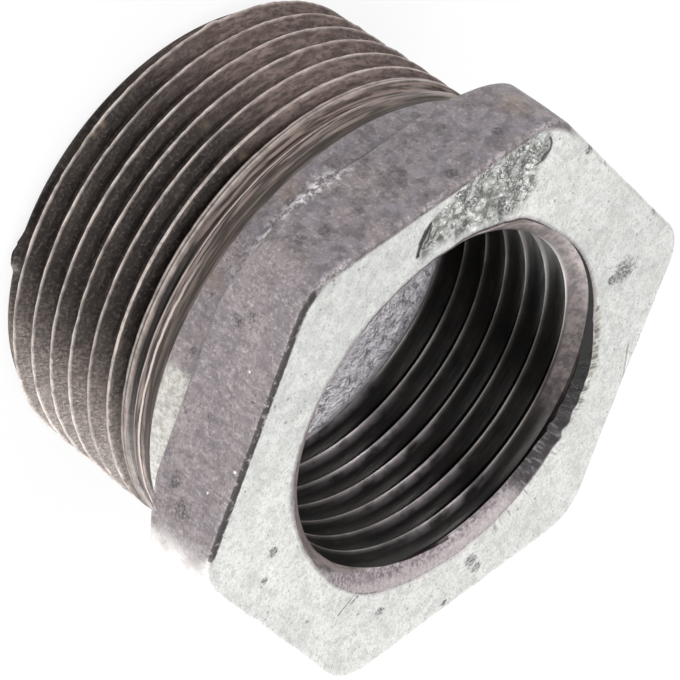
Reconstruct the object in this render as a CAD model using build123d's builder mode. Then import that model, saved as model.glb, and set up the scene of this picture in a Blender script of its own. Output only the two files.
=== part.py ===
from build123d import *
import os
from math import cos, pi, radians, tan

# Reducing hex bushing, 1 1/4 inch taper male thread by 1 inch parallel female thread.
# One malleable iron casting. It stands on its spigot end, with the hex face up.
# The origin is the centre of the spigot end, the thread axis is +Z, and two flats face +X and -X.
# All sizes are in millimetres.

# Whole casting
overall_length = 31.0
hex_across_flats = 46.0
hex_thickness = 7.8
hex_corner_radius = 4.5
hex_face_edge_radius = 0.5

# The rear corners of the hex are cut back by a cone that starts this far outside the middle of each flat
rear_cone_margin = 1.3
rear_cone_angle = 40.0

# Neck, as cast, between the hex and the thread, set in from the middle of each flat
neck_inset = 1.7
neck_fillet_radius = 1.1
neck_step_height = 0.35

# Male thread, 11 threads an inch, taper 1 in 16 on the diameter
male_gauge_diameter = 41.910
male_gauge_length = 12.7
male_thread_length = 18.0
male_thread_depth = 1.479
male_taper = 1 / 16
relief_length = 1.1
relief_depth = 0.45

# Female thread, 11 threads an inch, parallel
female_minor_diameter = 30.291
female_thread_end_depth = 16.3
countersink_diameter = 32.6
countersink_depth = 2.4

# Mouth of the casting round the countersink, left as cast
mouth_diameter = 34.0
mouth_depth = 1.2

# Cored recess behind the female thread, with draft towards the spigot end
recess_diameter = 31.6
recess_draft_angle = 1.5
recess_shoulder_length = 0.6
recess_edge_chamfer = 0.4

# How far the cutting profile runs past both ends
through_margin = 1.0

# Places and radii that follow from the sizes above
hex_rear = overall_length - hex_thickness
hex_corner_reach = hex_across_flats / 2 / cos(pi / 6)
rear_cone_start_radius = hex_across_flats / 2 + rear_cone_margin
neck_radius = hex_across_flats / 2 - neck_inset
relief_end = male_thread_length + relief_length
female_minor_radius = female_minor_diameter / 2
female_thread_end = overall_length - female_thread_end_depth
recess_top = female_thread_end - recess_shoulder_length
recess_top_radius = recess_diameter / 2
recess_edge_radius = recess_top_radius + (recess_top - recess_edge_chamfer) * tan(radians(recess_draft_angle))


def male_crest_radius(height):
    """Radius over the crests of the taper thread at a height above the spigot end."""
    return male_gauge_diameter / 2 + (height - male_gauge_length) * male_taper / 2


spigot_end_radius = male_crest_radius(0) - male_thread_depth
lead_chamfer_height = male_thread_depth / (1 - male_taper / 2)
relief_radius = male_crest_radius(male_thread_length) - relief_depth

with BuildPart() as hex_bushing:
    # Hexagonal head, with its corners rounded as the pattern was
    with BuildSketch(Plane.XY.offset(hex_rear)) as hexagon:
        RegularPolygon(hex_across_flats / 2, 6, major_radius=False, rotation=30)
        fillet(hexagon.vertices(), hex_corner_radius)
    extrude(amount=hex_thickness)

    # Rear corners cut back by a cone that starts outside the middle of each flat
    rear_cone_rise = (hex_corner_reach - rear_cone_start_radius) * tan(radians(rear_cone_angle))
    with BuildSketch(Plane.XZ) as head_envelope:
        with BuildLine():
            Polyline(
                (0, hex_rear),
                (rear_cone_start_radius, hex_rear),
                (hex_corner_reach, hex_rear + rear_cone_rise),
                (hex_corner_reach, overall_length),
                (0, overall_length),
                close=True,
            )
        make_face()
    revolve(axis=Axis.Z, mode=Mode.INTERSECT)
    fillet(hex_bushing.faces().sort_by(Axis.Z)[-1].edges(), hex_face_edge_radius)

    # Spigot: lead chamfer, taper over the crests, relief behind the thread, and the filleted neck
    with BuildSketch(Plane.XZ) as spigot_profile:
        with BuildLine():
            Polyline(
                (neck_radius + neck_fillet_radius, hex_rear),
                (0, hex_rear),
                (0, 0),
                (spigot_end_radius, 0),
                (male_crest_radius(lead_chamfer_height), lead_chamfer_height),
                (male_crest_radius(male_thread_length), male_thread_length),
                (relief_radius, male_thread_length + relief_depth),
                (relief_radius, relief_end),
                (neck_radius, relief_end + neck_step_height),
                (neck_radius, hex_rear - neck_fillet_radius),
            )
            TangentArc(
                (neck_radius, hex_rear - neck_fillet_radius),
                (neck_radius + neck_fillet_radius, hex_rear),
                tangent=(0, 1),
            )
        make_face()
    revolve(axis=Axis.Z)

    # Way through: mouth as cast, countersink, female thread at its minor diameter, and the recess
    with BuildSketch(Plane.XZ) as passage_profile:
        with BuildLine():
            Polyline(
                (0, -through_margin),
                (recess_edge_radius + recess_edge_chamfer, -through_margin),
                (recess_edge_radius + recess_edge_chamfer, 0),
                (recess_edge_radius, recess_edge_chamfer),
                (recess_top_radius, recess_top),
                (female_minor_radius, female_thread_end),
                (female_minor_radius, overall_length - countersink_depth),
                (countersink_diameter / 2, overall_length - mouth_depth),
                (mouth_diameter / 2, overall_length),
                (mouth_diameter / 2, overall_length + through_margin),
                (0, overall_length + through_margin),
                close=True,
            )
        make_face()
    revolve(axis=Axis.Z, mode=Mode.SUBTRACT)

os.makedirs("parts", exist_ok=True)
hex_bushing.part.label = "hex_bushing"
export_step(hex_bushing.part, "parts/hex_bushing.step")
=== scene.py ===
# %% [markdown]
# # A galvanised reducing bushing
# One malleable iron casting: a hexagon for the spanner, a tapered male thread outside and a parallel
# female thread inside. Founders dip the whole casting in molten zinc and cut the threads afterwards, so the
# head is pale and grainy while the threads are bare dark iron. Both show here on one closed mesh.

# %% Start from the packed part
import bpy
import bmesh
import numpy as np
from math import cos, pi, radians, sin, tan
from mathutils import Matrix, Vector


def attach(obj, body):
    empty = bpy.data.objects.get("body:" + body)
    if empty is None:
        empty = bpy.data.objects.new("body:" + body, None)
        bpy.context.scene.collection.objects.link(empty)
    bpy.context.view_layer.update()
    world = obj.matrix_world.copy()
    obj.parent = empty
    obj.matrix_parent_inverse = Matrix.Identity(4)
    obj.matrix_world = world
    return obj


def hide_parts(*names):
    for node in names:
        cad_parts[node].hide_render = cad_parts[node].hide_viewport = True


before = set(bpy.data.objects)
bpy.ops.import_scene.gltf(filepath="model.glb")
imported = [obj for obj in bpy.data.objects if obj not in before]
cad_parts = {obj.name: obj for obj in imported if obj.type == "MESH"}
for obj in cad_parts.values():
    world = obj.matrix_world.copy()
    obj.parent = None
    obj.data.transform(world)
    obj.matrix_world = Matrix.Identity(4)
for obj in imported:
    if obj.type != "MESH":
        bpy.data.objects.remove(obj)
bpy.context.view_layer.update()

# %% [markdown]
# ## Sizes
# The casting is described in millimetres, as its drawing is, and scaled to metres when the mesh is made.
# The origin is the middle of the spigot end, and +Z runs along the threads to the hex face. Both threads have
# 11 turns an inch. The male one tapers by 1 in 16 on its diameter, and the female one is parallel.

# %% Sizes of the casting
MM = 0.001
length = 31.0
across_flats = 46.0
corner_round = 4.5
half_across_corners = 25.862
head_thickness = 7.8
head_rear = length - head_thickness
rear_cone_start = 24.3
rear_cone_angle = radians(40)
neck_radius = 21.3
neck_fillet = 1.1
relief_radius, relief_top = 20.67, 19.1
edge_round = 0.45
flat_stands = [(180, 0.0), (120, -0.18), (60, 0.22), (0, -0.05), (-60, 0.03), (-120, 0.0)]  # azimuth, how far out
recess_radius, recess_top, recess_draft = 15.8, 14.1, tan(radians(1.5))
recess_chamfer = 0.4
end_radii = (17.5, 18.6)  # two rings that divide the flat spigot end
print("casting", length, "mm long,", across_flats, "mm across flats, head from", head_rear, "mm up")

# %% Sizes of the threads
pitch = 2.309
thread_depth = 1.479
flank_angle = radians(27.5)
flank_stretch = thread_depth / 1.75  # eases the flanks so that the rounded roots still reach the full depth
crest_half, crest_round, root_round = 0.06, 0.05, 0.16
male_crest_at_end = 20.558
male_taper = 1 / 32
male_start = 2.593  # height of a crest at azimuth 0
male_thread_top = 18.0
blank_radius = 20.85
flat_opening = 0.62  # half width that a crest's flat gains for each mm that the blank cuts off
thread_fade_start, thread_fade_end = 14.9, 18.0
last_crest_from, last_crest_full = 13.9, 15.3
last_crest_back, last_crest_extra = 0.35, 0.12
female_crest = 15.146
female_start = 27.989
female_bottom = 14.7
countersink_at_face = 16.3
thread_knocks = [  # azimuth, height, width in degrees, height of the knock, how far it stands out
    (-56.5, 0.95, 5.2, 0.85, 0.7), (-82, 1.5, 1.4, 0.4, -0.3), (-113, 1.1, 1.6, 0.5, -0.3),
    (-128, 1.6, 2.0, 0.5, 0.18),
]
outer_columns, inner_columns = 500, 300
outer_circle, inner_circle = 20, 16  # radii on which the noise for the two threads is read
print("male crest", male_crest_at_end, "mm, female crest", female_crest, "mm, turns an inch", round(25.4 / pitch, 2))

# %% [markdown]
# ## Noise for the shape
# Castings are never true, and a cut thread tears a little. A displacement texture could do this, but it can't
# tell a crest from a root. A small lattice of random heights, read with smooth steps between its points, works
# in plain numbers and gives the same unevenness at every run, because its seed is fixed.

# %% Lattice noise
lattice_size = 48
lattice = np.random.default_rng(11).uniform(-1, 1, (lattice_size,) * 3)


def lumps(x, y, z, scale):
    """Smooth random heights from -1 to 1, about one lump for each scale."""
    at = np.stack([x, y, z], -1) / scale
    low = np.floor(at).astype(int)
    part = at - low
    part = part * part * (3 - 2 * part)
    total = 0
    for corner in np.ndindex(2, 2, 2):
        cell = (low + corner) % lattice_size
        weight = np.prod(np.where(corner, part, 1 - part), axis=-1)
        total = total + lattice[cell[..., 0], cell[..., 1], cell[..., 2]] * weight
    return total


print("noise ranges from", lattice.min().round(2), "to", lattice.max().round(2))


# %% Soft steps, and azimuths
def ramp(value, low, high):
    """0 below low, 1 above high, and smooth between."""
    t = np.clip((value - low) / (high - low), 0, 1)
    return t * t * (3 - 2 * t)


def fade(value, low, high):
    """1 below low, 0 above high, and smooth between."""
    return 1 - ramp(value, low, high)


def turn_gap(azimuth, centre):
    """Degrees from a centre, between -180 and 180."""
    return (np.degrees(azimuth) - centre + 180) % 360 - 180


def near(azimuth, centre, inner, outer):
    """1 within inner degrees of a centre, and 0 beyond outer."""
    return fade(np.abs(turn_gap(azimuth, centre)), inner, outer)


def on_circle(radius, azimuth):
    return radius * np.cos(azimuth), radius * np.sin(azimuth)


print("half way up a ramp:", ramp(0.5, 0, 1), "- gap from 350 to 10 degrees:", round(turn_gap(radians(350), 10), 1))

# %% [markdown]
# ## The outline of the head
# The spanner grips a hexagon with rounded corners, whose rear corners a cone cuts back. A bevelled six-sided
# cylinder would give it too, but its columns wouldn't match those of the round neck. Written as one distance
# from the axis for each azimuth, the whole outside stays on columns, so every ring joins the next cleanly.

# %% Reach of the rounded hexagon
def head_reach(azimuth):
    """Distance from the axis to the rounded hexagon."""
    from_flat = (azimuth + pi / 6) % (pi / 3) - pi / 6
    half = across_flats / 2
    on_flat = half / np.cos(from_flat)
    centre = (half - corner_round) / cos(pi / 6)
    from_corner = pi / 6 - np.abs(from_flat)
    inside = np.maximum(corner_round**2 - (centre * np.sin(from_corner)) ** 2, 0)
    on_corner = centre * np.cos(from_corner) + np.sqrt(inside)
    flat_end = np.arctan((half - corner_round) * tan(pi / 6) / half)
    reach = np.where(np.abs(from_flat) <= flat_end, on_flat, on_corner)
    for flat, stand in flat_stands:
        reach = reach + stand * near(azimuth, flat, 20, 33)
    return reach


def rear_of_head(radius):
    """Height of the head's rear face, cut back by a cone towards its corners."""
    return head_rear + np.maximum(radius - rear_cone_start, 0) * tan(rear_cone_angle)


print("corner reach", head_reach(np.array([pi / 6])).round(2), "mm")

# %% [markdown]
# ## The thread forms
# A pipe thread has 55 degree flanks with rounded crests and roots. Along one pitch its depth depends only on
# the distance to the nearest crest, so one short formula serves both threads. Smooth minimum and maximum give
# the roundings. The die's lead-in leaves the last male turns shallow, and the blank clips their crests flat.

# %% Depth of a thread under its crest
def climb(azimuth):
    """How far a helix has risen at an azimuth."""
    return pitch * azimuth / (2 * pi)


def from_crest(azimuth, height, start):
    """Distance along the axis to the nearest crest of a helix."""
    return (height - start - climb(azimuth) + pitch / 2) % pitch - pitch / 2


def soft_max(a, b, blend):
    return (a + b + np.sqrt((a - b) ** 2 + blend**2)) / 2


def thread_dip(apart, depth, half=crest_half):
    """Depth under the crest at a distance from it along the axis."""
    flank = (np.abs(apart) - half) / tan(flank_angle) * flank_stretch
    dip = soft_max(flank, 0, crest_round)
    return -soft_max(-dip, -depth, root_round)


print("dip half way between crests", round(float(thread_dip(pitch / 2, thread_depth)), 3), "mm")


# %% The last male crest
def last_crest_share(height):
    return ramp(height, last_crest_from, last_crest_full)


def last_crest_shift(height):
    """The die's lead-in teeth cut the last crest nearer the spigot end than its pitch says."""
    return last_crest_back * last_crest_share(height)


def crest_flat(height):
    """Half width of the flat that the blank leaves on a crest, where the taper rises past the blank."""
    cut_off = np.maximum(male_crest_at_end + height * male_taper - blank_radius, 0)
    return crest_half + flat_opening * cut_off + last_crest_extra * last_crest_share(height)


def from_male_crest(azimuth, height):
    place = height
    for _ in range(3):
        place = height + last_crest_shift(place)
    return from_crest(azimuth, place, male_start)


print("crest flat at 10 mm", round(float(crest_flat(10.0)), 3), "and at 16 mm", round(float(crest_flat(16.0)), 3))


# %% Radius of the male thread
male_sway, male_sway_lump = 0.035, 2.2  # how far the die wanders along the axis, and over what length
nick_depth, nick_lump, nick_from = 0.09, 0.9, 0.35
tear_depth, tear_lump = 0.05, 0.5


def male_radius(azimuth, height):
    """The tapered male thread, with its lead chamfer, its run-out into the blank and its knocks."""
    x, y = on_circle(outer_circle, azimuth)
    sway = male_sway * lumps(x, y, height, male_sway_lump)
    crest = male_crest_at_end + height * male_taper
    depth = thread_depth * fade(height, thread_fade_start, thread_fade_end)
    tears = tear_depth * lumps(x, y, height, tear_lump)
    nicks = nick_depth * np.maximum(lumps(x, y, height, nick_lump) - nick_from, 0) + tears
    half = crest_half + last_crest_extra * last_crest_share(height)
    dip = thread_dip(from_male_crest(azimuth, height) + sway, depth, half)
    radius = crest - dip - nicks * (dip < 0.3)
    radius = np.minimum(radius, blank_radius)
    lead_chamfer = male_crest_at_end - thread_depth + height
    radius = np.minimum(radius, lead_chamfer)
    for centre, up, width, tall, out in thread_knocks:
        across, along = turn_gap(azimuth, centre) / width, (height - up) / tall
        ragged = 1 + 0.3 * lumps(x, y, height, 0.5)
        radius = radius + out * np.exp(-(across**2 + along**2) ** 2) * ragged
    return radius


print("male root at 10 mm", male_radius(np.array([pi]), np.array([10.0])).round(2), "mm")

# %% [markdown]
# ## The mouth
# The core left the mouth of the hole uneven, and the tap's countersink breaks out of it on one side. A true
# chamfer would look turned, so the mouth is a radius for each azimuth too: a slow swing, two places where it
# closes in, and lumps. It narrows steeply below the face, and wherever it is the wider it wins over the thread.

# %% Radius of the mouth and the female thread
mouth_radius, mouth_swing, mouth_slope = 17.15, 0.35, 2.3
lip_tear, lip_tear_lump, lip_unevenness, lip_lump = 0.3, 0.6, 0.08, 1.1
female_sway, female_sway_lump = 0.02, 2.6
mouth_closes = [(164, 1.3, 12, 50), (-12, 0.75, 5, 38)]  # azimuth, depth, full within and gone beyond, in degrees


def mouth_reach(azimuth):
    """Distance from the axis to the mouth at the face."""
    x, y = on_circle(inner_circle, azimuth)
    reach = mouth_radius + mouth_swing * np.cos(azimuth - radians(100))
    for centre, depth, inner, outer in mouth_closes:
        reach = reach - depth * near(azimuth, centre, inner, outer)
    reach = reach + lip_tear * near(azimuth, 112, 5, 22) * lumps(x, y, 0 * x, lip_tear_lump)
    reach = reach + lip_unevenness * lumps(x, y, 0 * x, lip_lump)
    return np.maximum(reach, countersink_at_face - 0.05)


def female_radius(azimuth, height):
    """The female thread, opened by the countersink and by the mouth."""
    below_face = length - height
    x, y = on_circle(inner_circle, azimuth)
    sway = female_sway * lumps(x, y, height, female_sway_lump)
    radius = female_crest + thread_dip(from_crest(azimuth, height, female_start) + sway, thread_depth)
    countersink = countersink_at_face - below_face
    cast_mouth = mouth_reach(azimuth) - below_face * mouth_slope
    return np.maximum(np.maximum(radius, countersink), cast_mouth)


print("mouth at 0, 90 and 180 degrees", mouth_reach(np.radians([0, 90, 180])).round(2), "mm")

# %% [markdown]
# ## Thread bands
# A thread can't lie on closed rings, because its crest climbs one pitch a turn, and a boolean cut with a swept
# cutter leaves slivers. So the band is woven as one long ribbon of rows that follow the crest, and each row
# meets the row one pitch higher after a turn. Two flat cuts then trim the ribbon to the length of the band.

# %% Rows of a ribbon
male_rows = [0, 0.04, 0.08, 0.16, 0.28, 0.42, 0.58, 0.72, 0.84, 0.92, 0.96]  # shares of a pitch from a crest
female_rows = [0, 0.05, 0.11, 0.23, 0.37, 0.5, 0.63, 0.77, 0.89, 0.95]
crest_share = 0.08  # the male rows within this share of a crest


def settle_male_rows(rows, height):
    """Moves the rows beside a crest out to the edges of its flat, and the last crest to where the die cut it."""
    place = (rows + 0.5) % 1 - 0.5
    wide = np.maximum(crest_flat(height) / pitch, crest_share)
    on_flat = place * wide / crest_share
    off_flat = np.sign(place) * (wide + (np.abs(place) - crest_share) * (0.5 - wide) / (0.5 - crest_share))
    height = height + pitch * (np.where(np.abs(place) <= crest_share, on_flat, off_flat) - place)
    return height - last_crest_shift(height)


def weave(columns, row_places, start, low, high, settle=None):
    """A ribbon mesh on a cylinder of radius 1, longer than the band at both ends."""
    first_turn = int(np.floor((low - start) / pitch)) - 2
    last_turn = int(np.ceil((high - start) / pitch)) + 2
    rows = (np.arange(first_turn, last_turn)[:, None] + np.array(row_places)[None, :]).ravel()
    azimuth = np.arange(columns) * 2 * pi / columns
    height = start + pitch * (rows[:, None] + azimuth[None, :] / (2 * pi))
    if settle:
        height = settle(rows[:, None], height)
    x, y = (np.broadcast_to(side, height.shape) for side in on_circle(1, azimuth))
    index = np.arange(height.size).reshape(height.shape)
    faces = []
    for column in range(columns):
        step = len(row_places) if column == columns - 1 else 0  # the last column meets the next turn's rows
        here, there = index[:, column], index[:, (column + 1) % columns]
        count = len(rows) - 1 - step
        corners = [here[:count], there[step:step + count], there[step + 1:step + 1 + count], here[1:count + 1]]
        faces.append(np.stack(corners, 1))
    mesh = bpy.data.meshes.new("ribbon")
    mesh.from_pydata(np.stack([x, y, height], -1).reshape(-1, 3).tolist(), [], np.concatenate(faces).tolist())
    return mesh


print(len(male_rows), "male rows and", len(female_rows), "female rows a turn")


# %% Trim a ribbon and give it its radius
def thread_band(mesh, low, high, radius_of):
    """Points and faces of a thread between two heights, with their open rims."""
    ribbon = bmesh.new()
    ribbon.from_mesh(mesh)
    for cut, side in ((low, -1), (high, 1)):
        parts = ribbon.verts[:] + ribbon.edges[:] + ribbon.faces[:]
        plane = {"plane_co": (0, 0, cut), "plane_no": (0, 0, side), "clear_outer": True}
        bmesh.ops.bisect_plane(ribbon, geom=parts, dist=1e-4, **plane)
    ribbon.verts.index_update()
    points = np.array([v.co[:] for v in ribbon.verts])
    polygons = [[v.index for v in f.verts] for f in ribbon.faces]
    rim = sorted({v.index for e in ribbon.edges if e.is_boundary for v in e.verts})
    ribbon.free()
    bpy.data.meshes.remove(mesh)
    azimuth = np.arctan2(points[:, 1], points[:, 0]) % (2 * pi)
    radius = radius_of(azimuth, points[:, 2])
    return np.stack([*on_circle(radius, azimuth), points[:, 2]], -1), polygons, rim


male_ribbon = weave(outer_columns, male_rows, male_start, 0.0, male_thread_top, settle_male_rows)
male_band = thread_band(male_ribbon, 0.0, male_thread_top, male_radius)
female_ribbon = weave(inner_columns, female_rows, female_start, female_bottom, length)
female_band = thread_band(female_ribbon, female_bottom, length, female_radius)
print("male band", len(male_band[0]), "points, female band", len(female_band[0]), "points")

# %% [markdown]
# ## One skin
# The outside, the face, the bore and the end close into one watertight skin, which a single casting is. Two
# rings with the same number of points join by quads. Others are zipped: the strip steps to whichever side's
# next point comes first round the axis, so a fine band meets a coarse one without a gap.

# %% Rings
points, zones, polygons, finish = [], [], [], []
ZINC, CUT, BORE = 0, 1, 2
MALE, RELIEF, HEAD, FACE, FEMALE, RECESS, END = range(7)


def add_points(new, zone):
    first = sum(len(p) for p in points)
    points.append(np.asarray(new, float))
    zones.append(np.full(len(new), zone))
    return list(range(first, first + len(new)))


def add_ring(radius, height, azimuth, zone):
    radius = np.broadcast_to(radius, azimuth.shape)
    height = np.broadcast_to(height, azimuth.shape)
    return add_points(np.stack([*on_circle(radius, azimuth), height], -1), zone)


def add_face(corners, kind):
    polygons.append(corners)
    finish.append(kind)


print("finishes", ZINC, CUT, BORE, "- zones", MALE, "to", END)


# %% Zips
def by_turn(ring):
    """A ring's points in order round the axis, with their azimuths and the first one's again, a turn on."""
    spots = np.concatenate(points)[ring]
    turn = np.arctan2(spots[:, 1], spots[:, 0]) % (2 * pi)
    order = np.argsort(turn, kind="stable")
    return [ring[i] for i in order], np.append(turn[order], 2 * pi + turn[order][0])


def zip_rings(lower, upper, kind):
    """A strip between two rings that both run with rising azimuth. Its outside is on the lower ring's right."""
    if len(lower) == len(upper):
        for i in range(len(lower)):
            j = (i + 1) % len(lower)
            add_face([lower[i], lower[j], upper[j], upper[i]], kind)
        return
    (low, low_turn), (up, up_turn) = by_turn(lower), by_turn(upper)
    i = j = 0
    while i < len(low) or j < len(up):
        if j >= len(up) or (i < len(low) and low_turn[i + 1] <= up_turn[j + 1]):
            add_face([low[i % len(low)], low[(i + 1) % len(low)], up[j % len(up)]], kind)
            i += 1
        else:
            add_face([low[i % len(low)], up[(j + 1) % len(up)], up[j % len(up)]], kind)
            j += 1


def run_rings(last, rings, azimuth, zone, kind):
    """Adds rings one after another, zips each to the one before, and returns the last."""
    for radius, height in rings:
        ring = add_ring(radius, height, azimuth, zone)
        zip_rings(last, ring, kind)
        last = ring
    return last


def add_band(band, kind, zone):
    """Adds a thread band and returns its lowest and highest rings."""
    band_points, band_polygons, rim = band
    first = add_points(band_points, zone)[0]
    for corners in band_polygons:
        corners = corners if zone == MALE else corners[::-1]
        add_face([first + i for i in corners], kind)
    middle = band_points[:, 2].mean()
    low = [first + i for i in rim if band_points[i, 2] < middle]
    high = [first + i for i in rim if band_points[i, 2] > middle]
    return low, high


male_low, male_high = add_band(male_band, CUT, MALE)
print("rims of the male band", len(male_low), "and", len(male_high), "points")

# %% [markdown]
# ## The outside, from the spigot end to the face
# The male thread fades into a turned relief. Then come the neck as cast, its fillet, the cone-cut rear of the
# head, the flats and the rounded edge of the face. All of them are rings on the same 500 columns, because a
# shape that is a radius and a height for each azimuth needs no bevel tool.

# %% Relief, neck and fillet
outer = np.arange(outer_columns) * 2 * pi / outer_columns
inner = np.arange(inner_columns) * 2 * pi / inner_columns
relief_rings = [
    (relief_radius + 0.02, male_thread_top + 0.15), (relief_radius, male_thread_top + 0.3),
    (relief_radius, relief_top - 0.1), (relief_radius + 0.03, relief_top), (relief_radius + 0.2, relief_top + 0.08),
]
neck_rings = [(neck_radius - 0.12, relief_top + 0.25)]
neck_rings += [(neck_radius, relief_top + up) for up in (0.5, 1.2, 2.0, 2.6)]
for step in range(6):
    swing = pi / 2 * step / 5
    neck_rings.append((neck_radius + neck_fillet * (1 - cos(swing)), head_rear - neck_fillet * (1 - sin(swing))))
last = run_rings(male_high, relief_rings, outer, RELIEF, CUT)
last = run_rings(last, neck_rings, outer, HEAD, ZINC)
print(len(relief_rings), "relief rings,", len(neck_rings), "neck rings")


# %% Head
def corner_points(before, corner, after, round_off, steps):
    """Points of a softened corner between two straight runs, one path for each column."""
    run_in = (before - corner) / np.linalg.norm(before - corner, axis=0)
    run_out = (after - corner) / np.linalg.norm(after - corner, axis=0)
    a, b = corner + run_in * round_off, corner + run_out * round_off
    for step in range(steps + 1):
        t = step / steps
        yield (1 - t) ** 2 * a + 2 * t * (1 - t) * corner + t**2 * b


reach = head_reach(outer)
rear_start = neck_radius + neck_fillet
rear_corner = np.stack([reach, rear_of_head(reach)])
cone_foot = np.stack([np.minimum(rear_cone_start, (reach + rear_start) / 2), 0 * reach + head_rear])
face_corner = np.stack([reach, 0 * reach + length])
flat_middle = (rear_corner + face_corner) / 2
inside_corner = np.stack([reach - 3, 0 * reach + length])
head_rings = [np.stack([0 * reach + rear_start + 0.4, 0 * reach + head_rear]), cone_foot]
head_rings += list(corner_points(cone_foot, rear_corner, flat_middle, edge_round, 4))
rear_run, face_run = head_rings[-1], face_corner + np.array([[0], [-edge_round]])
head_rings += [rear_run + (face_run - rear_run) * t for t in np.linspace(0, 1, 13)[1:-1]]
head_rings += list(corner_points(flat_middle, face_corner, inside_corner, edge_round, 4))
last = run_rings(last, head_rings, outer, HEAD, ZINC)
print("head reaches from", reach.min().round(2), "to", reach.max().round(2), "mm")

# %% [markdown]
# ## The face, the bore and the spigot end
# The flat face runs in to the uneven mouth, on rings that change from the hexagon to the mouth in even steps.
# The female thread is the second woven band. Below it a shoulder opens into the cored recess, which widens
# downwards so that the core could be drawn, and the end closes the skin.

# %% Face
face_steps = 16
mouth = mouth_reach(outer)
face_edge = reach - edge_round
face_rings = [(face_edge + (mouth - face_edge) * (step / face_steps), length) for step in range(1, face_steps)]
last = run_rings(last, face_rings, outer, FACE, ZINC)
print("face is", (face_edge - mouth).min().round(2), "to", (face_edge - mouth).max().round(2), "mm wide")

# %% Female thread and recess
female_low, female_high = add_band(female_band, BORE, FEMALE)
zip_rings(last, female_high, ZINC)
recess_end = recess_radius + recess_top * recess_draft
recess_rings = [(recess_radius - 0.12, recess_top + 0.1), (recess_radius, recess_top - 0.1)]
for up in np.linspace(recess_top - 0.9, recess_chamfer + 0.1, 10):
    recess_rings.append((recess_radius + (recess_top - up) * recess_draft, up))
recess_rings += [(recess_end + 0.02, recess_chamfer), (recess_end + recess_chamfer, 0.06)]
last = run_rings(female_low, recess_rings, inner, RECESS, ZINC)
print("recess opens to", round(recess_end, 2), "mm")

# %% Spigot end
end_rings = [(out, 0.0) for out in (recess_end + recess_chamfer + 0.06, *end_radii)]
last = run_rings(last, end_rings, outer, END, CUT)
zip_rings(last, male_low, CUT)
points, zones, finish = np.concatenate(points), np.concatenate(zones), np.array(finish)
print("skin", len(points), "points", len(polygons), "faces")

# %% [markdown]
# ## Masks on the skin
# The finishes need to know where they are: on a crest, on the hex face, in the rough mouth, in the scar. That
# could be painted by hand, or worked out again in the shader. Each point carries it as plain numbers instead,
# because the heights, zones and azimuths are known here, and the materials only read them by name. Windows
# are in degrees round the axis, and the limits of ramps and fades are in millimetres.

# %% Where each point is
x, y, z = points.T  # views of points, so they follow when a point is pushed
azimuth = np.arctan2(y, x) % (2 * pi)
turn = turn_gap(azimuth, 0)
radius = np.hypot(x, y)
below_face = length - z
from_mouth = radius - mouth_reach(azimuth)
on_male, on_head, on_face, on_female = (zones == zone for zone in (MALE, HEAD, FACE, FEMALE))
masks = {}


def window(low, high, soft):
    """1 between two azimuths in degrees, with soft ends."""
    middle, half = (low + high) / 2, (high - low) / 2
    return near(azimuth, middle, half - soft / 2, half + soft / 2)


def show(names):
    """Prints how many points each mask covers by more than half."""
    print({name: int((masks[name] > 0.5).sum()) for name in names})


print("points on the head", on_head.sum(), "on the face", on_face.sum())

# %% Masks of the male thread
flat = np.maximum(crest_flat(z) - 0.1, 0)
beside = np.abs(from_male_crest(azimuth, z))
male_line = fade(np.abs(beside - flat), 0.03, 0.145) - 0.2 * (beside < flat)
male_line = male_line * ramp(z, 0.9, 1.6) * fade(z, 17.0, 17.4)
groove_foot = 15.8 + pitch * (turn + 90) / 360  # the side of the last crest
male_masks = {
    "relief": (zones == RELIEF) * 1.0 + on_male * ramp(z, 17.7, 17.95),
    "warm": on_male * near(azimuth, -165, 30, 68),
    # painted light: the flanks near -15 degrees are painted paler
    "painted_lit_side": on_male * near(azimuth, -15, 20, 45),
    # painted shade: the last groove is painted near black
    "groove": on_male * ramp(z - groove_foot, 0, 0.2) * fade(z, 16.6, 16.85) * (1 - window(-200, -84, 20)),
    "striped": on_male * ramp(z - groove_foot, -0.2, 0.1) * fade(z, 17.6, 17.8),
    "second_line": window(-78, 40, 24),
}
masks.update(male_masks)
show(male_masks)

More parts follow.
